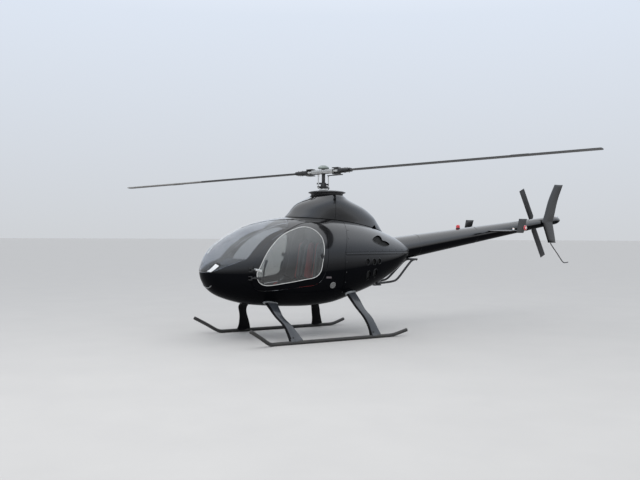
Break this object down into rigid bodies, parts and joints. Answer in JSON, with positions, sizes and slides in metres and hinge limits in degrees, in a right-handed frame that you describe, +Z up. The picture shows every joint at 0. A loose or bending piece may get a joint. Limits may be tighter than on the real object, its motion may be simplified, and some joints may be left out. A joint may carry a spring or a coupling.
{
  "type": "light two-seat helicopter",
  "caption": "Light two-seat helicopter on skids with a teetering two-blade main rotor, a tail rotor, opening cabin doors and a clear bubble nose.",
  "frame": {"origin": "on the ground under the middle of the outline", "axes": "+X towards the nose, +Y to port, +Z up"},
  "size_m": [6.9067, 6.876, 2.4484],
  "materials": {
    "black_gloss_paint": "gloss black paint over moulded composite",
    "windshield_clear": "clear moulded plastic",
    "door_window_clear": "clear moulded plastic",
    "seam_strip": "thin bright joint strip",
    "seat_fabric": "dark woven cloth",
    "cabin_trim": "dark moulded trim",
    "cabin_carpet": "short carpet",
    "console_black": "black crackle finish",
    "control_black": "black anodised tube",
    "engine_alloy": "cast alloy",
    "blade_paint": "dark satin paint",
    "hub_silver": "machined alloy",
    "grip_black": "black hard anodised",
    "mast_dark": "dark greased steel",
    "gearbox_alloy": "cast alloy",
    "leg_paint": "blue grey satin paint",
    "skid_paint": "worn dark grey paint",
    "brace_paint": "black painted tube",
    "stinger_steel": "black painted rod",
    "cap_grey": "light grey cap",
    "lens_red": "red lens",
    "lens_green": "green lens",
    "lens_clear": "clear lens"
  },
  "bodies": {
    "airframe": {"cabin_shell": "black_gloss_paint", "windshield": "windshield_clear", "windshield_strip": "seam_strip", "seat_cushion_left": "seat_fabric", "seat_back_left": "seat_fabric", "seat_cushion_right": "seat_fabric", "seat_back_right": "seat_fabric", "skid_left": "skid_paint", "skid_right": "skid_paint", "leg_front_left": "leg_paint", "leg_rear_left": "leg_paint", "leg_front_right": "leg_paint", "leg_rear_right": "leg_paint", "cabin_floor": "cabin_carpet", "bulkhead": "cabin_trim", "seat_base": "cabin_trim", "instrument_console": "console_black", "cyclic_sticks": "control_black", "collective_levers": "control_black", "pedals": "control_black", "engine_block": "engine_alloy", "upper_cowl": "black_gloss_paint", "lower_cowl": "black_gloss_paint", "side_cap": "cap_grey", "mast_fairing_front": "black_gloss_paint", "mast_fairing_rear": "black_gloss_paint", "mast_collar": "black_gloss_paint", "tail_boom": "black_gloss_paint", "tail_cap": "black_gloss_paint", "tail_gearbox": "gearbox_alloy", "fin": "black_gloss_paint", "stinger": "stinger_steel", "stabilizer": "black_gloss_paint", "beacon": "lens_red", "nav_light_port": "lens_red", "nav_light_starboard": "lens_green", "tail_light": "lens_clear", "boom_braces": "brace_paint", "mast_sleeve": "mast_dark"},
    "door_left": {"door_left": "black_gloss_paint", "door_window_left": "door_window_clear"},
    "door_right": {"door_right": "black_gloss_paint", "door_window_right": "door_window_clear"},
    "rotor_mast": {"mast": "mast_dark", "swashplate_and_links": "mast_dark"},
    "rotor_head": {"rotor_hub": "hub_silver", "blade_grip_1": "grip_black", "blade_grip_2": "grip_black", "main_blade_1": "blade_paint", "main_blade_2": "blade_paint"},
    "tail_rotor": {"tail_rotor": "blade_paint"}
  },
  "joints": [
    {"name": "door_left_hinge", "type": "hinge", "parent": "airframe", "child": "door_left", "pos_m": [2.961, 0.48, 0.9], "axis": [0, 0, -1], "range_deg": [0, 75]},
    {"name": "door_right_hinge", "type": "hinge", "parent": "airframe", "child": "door_right", "pos_m": [2.961, -0.48, 0.9], "axis": [0, 0, 1], "range_deg": [0, 75]},
    {"name": "main_rotor_spin", "type": "hinge", "parent": "airframe", "child": "rotor_mast", "pos_m": [1.587, 0, 2.1], "axis": [0, 0, 1], "continuous": true},
    {"name": "rotor_teeter", "type": "hinge", "parent": "rotor_mast", "child": "rotor_head", "pos_m": [1.587, 0, 2.317], "axis": [0.8865, 0.4627, 0], "range_deg": [-8.78, 5.22]},
    {"name": "tail_rotor_spin", "type": "hinge", "parent": "airframe", "child": "tail_rotor", "pos_m": [-2.879, -0.205, 1.64], "axis": [0, 1, 0], "continuous": true}
  ],
  "couplings": [
    {"joint": "tail_rotor_spin", "follows": "main_rotor_spin", "ratio": 5}
  ]
}
